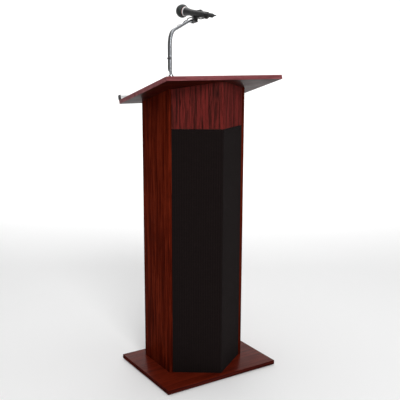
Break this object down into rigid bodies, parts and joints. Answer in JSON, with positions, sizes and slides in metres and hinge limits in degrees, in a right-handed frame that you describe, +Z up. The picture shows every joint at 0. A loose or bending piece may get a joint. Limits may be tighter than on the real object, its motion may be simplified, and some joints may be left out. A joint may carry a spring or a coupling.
{
  "type": "lectern stand",
  "caption": "Floor-standing mahogany lectern with a pointed loudspeaker front, sloped reading top with a book stop, and a microphone on a gooseneck.",
  "frame": {"origin": "on the floor, under the centre of the lectern's overall outline", "axes": "+X to the right as the audience sees it, +Y from the audience towards the speaker, +Z up"},
  "size_m": [0.502, 0.3861, 1.4327],
  "materials": {
    "mahogany": "semi-gloss mahogany laminate",
    "raw_board": "plain board and pine",
    "grille_cloth": "stretched loudspeaker cloth",
    "black_paint": "satin black",
    "grey_paint": "satin dark grey",
    "aluminium": "satin anodised",
    "chrome": "bright",
    "zinc": "zinc plated",
    "black_plastic": "fine matt",
    "gloss_black": "gloss",
    "white_ring": "gloss white",
    "red_lens": "clear red",
    "circuit": "green laminate",
    "copper": "lacquered windings and core",
    "rubber": "matt rubber",
    "paper_cone": "pressed paper",
    "mic_enamel": "fine-textured dark grey enamel",
    "mic_mesh": "dark woven wire",
    "cable_sheath": "satin cable sheath"
  },
  "bodies": {
    "lectern": {"base_plate": "mahogany", "floor_glides": "black_plastic", "base_screws": "zinc", "left_side_panel": "mahogany", "right_side_panel": "mahogany", "left_apron_board": "mahogany", "right_apron_board": "mahogany", "left_baffle_board": "raw_board", "right_baffle_board": "raw_board", "grille_frame": "black_plastic", "grille_cloth": "grille_cloth", "corner_cleats": "raw_board", "chamber_panel": "mahogany", "storage_shelf": "mahogany", "amplifier_shelf": "mahogany", "top_cleats": "raw_board", "top_panel": "mahogany", "book_stop": "aluminium", "book_stop_end_caps": "black_plastic", "book_stop_screws": "zinc", "speaker_baskets": "black_paint", "speaker_cones": "paper_cone", "speaker_magnets": "zinc", "speaker_screws": "black_paint", "speaker_leads": "cable_sheath", "amplifier_chassis": "grey_paint", "circuit_board": "circuit", "power_transformer": "copper", "control_panel": "black_paint", "panel_screws": "zinc", "potentiometers": "zinc", "power_switch_frame": "black_plastic", "power_lamp": "red_lens", "input_jacks": "zinc", "power_inlet": "black_plastic", "gooseneck_flange": "chrome", "flange_screws": "zinc", "neck_foot": "chrome", "cable_run": "cable_sheath", "cable_grommet": "rubber", "jack_plug": "chrome"},
    "neck_lower": {"neck_lower": "chrome", "cable_lower": "cable_sheath"},
    "neck_bend": {"neck_bend": "chrome", "cable_bend": "cable_sheath"},
    "neck_upper": {"neck_upper": "chrome", "clip_yoke": "black_plastic", "clip_pivot_screw": "zinc", "cable_upper": "cable_sheath"},
    "microphone": {"clip_cradle": "black_plastic", "mic_body": "mic_enamel", "mic_head_grille": "mic_mesh", "mic_collar_ring": "white_ring", "mic_plug": "black_paint", "cable_tail": "cable_sheath"},
    "mic_switch": {"mic_switch": "black_plastic"},
    "microphone_volume_knob": {"microphone_volume_knob": "black_plastic"},
    "auxiliary_volume_knob": {"auxiliary_volume_knob": "black_plastic"},
    "tone_knob": {"tone_knob": "black_plastic"},
    "power_rocker": {"power_rocker": "gloss_black"}
  },
  "joints": [
    {"name": "neck_flex_low", "type": "hinge", "parent": "lectern", "child": "neck_lower", "pos_m": [-0.205, -0.143, 1.2], "axis": [-0.6384, 0.7697, 0], "range_deg": [-20, 15]},
    {"name": "neck_flex_middle", "type": "hinge", "parent": "neck_lower", "child": "neck_bend", "pos_m": [-0.205, -0.143, 1.275], "axis": [-0.6384, 0.7697, 0], "range_deg": [-20, 15]},
    {"name": "neck_flex_high", "type": "hinge", "parent": "neck_bend", "child": "neck_upper", "pos_m": [-0.17278, -0.11628, 1.32762], "axis": [-0.6384, 0.7697, 0], "range_deg": [-25, 15]},
    {"name": "clip_tilt", "type": "hinge", "parent": "neck_upper", "child": "microphone", "pos_m": [-0.00021, 0.02684, 1.37695], "axis": [0.9848, 0.1736, 0], "range_deg": [-10, 25]},
    {"name": "mic_switch_slide", "type": "slide", "parent": "microphone", "child": "mic_switch", "axis": [-0.172, 0.9752, 0.1392], "range_m": [0, 0.006]},
    {"name": "microphone_volume_turn", "type": "hinge", "parent": "lectern", "child": "microphone_volume_knob", "pos_m": [0.04, 0.115, 1], "axis": [0, 1, 0], "range_deg": [-150, 150]},
    {"name": "auxiliary_volume_turn", "type": "hinge", "parent": "lectern", "child": "auxiliary_volume_knob", "pos_m": [0, 0.115, 1], "axis": [0, 1, 0], "range_deg": [-150, 150]},
    {"name": "tone_turn", "type": "hinge", "parent": "lectern", "child": "tone_knob", "pos_m": [-0.04, 0.115, 1], "axis": [0, 1, 0], "range_deg": [-150, 150]},
    {"name": "power_rocker_tilt", "type": "hinge", "parent": "lectern", "child": "power_rocker", "pos_m": [-0.078, 0.112, 1], "axis": [1, 0, 0], "range_deg": [-14, 0]}
  ]
}
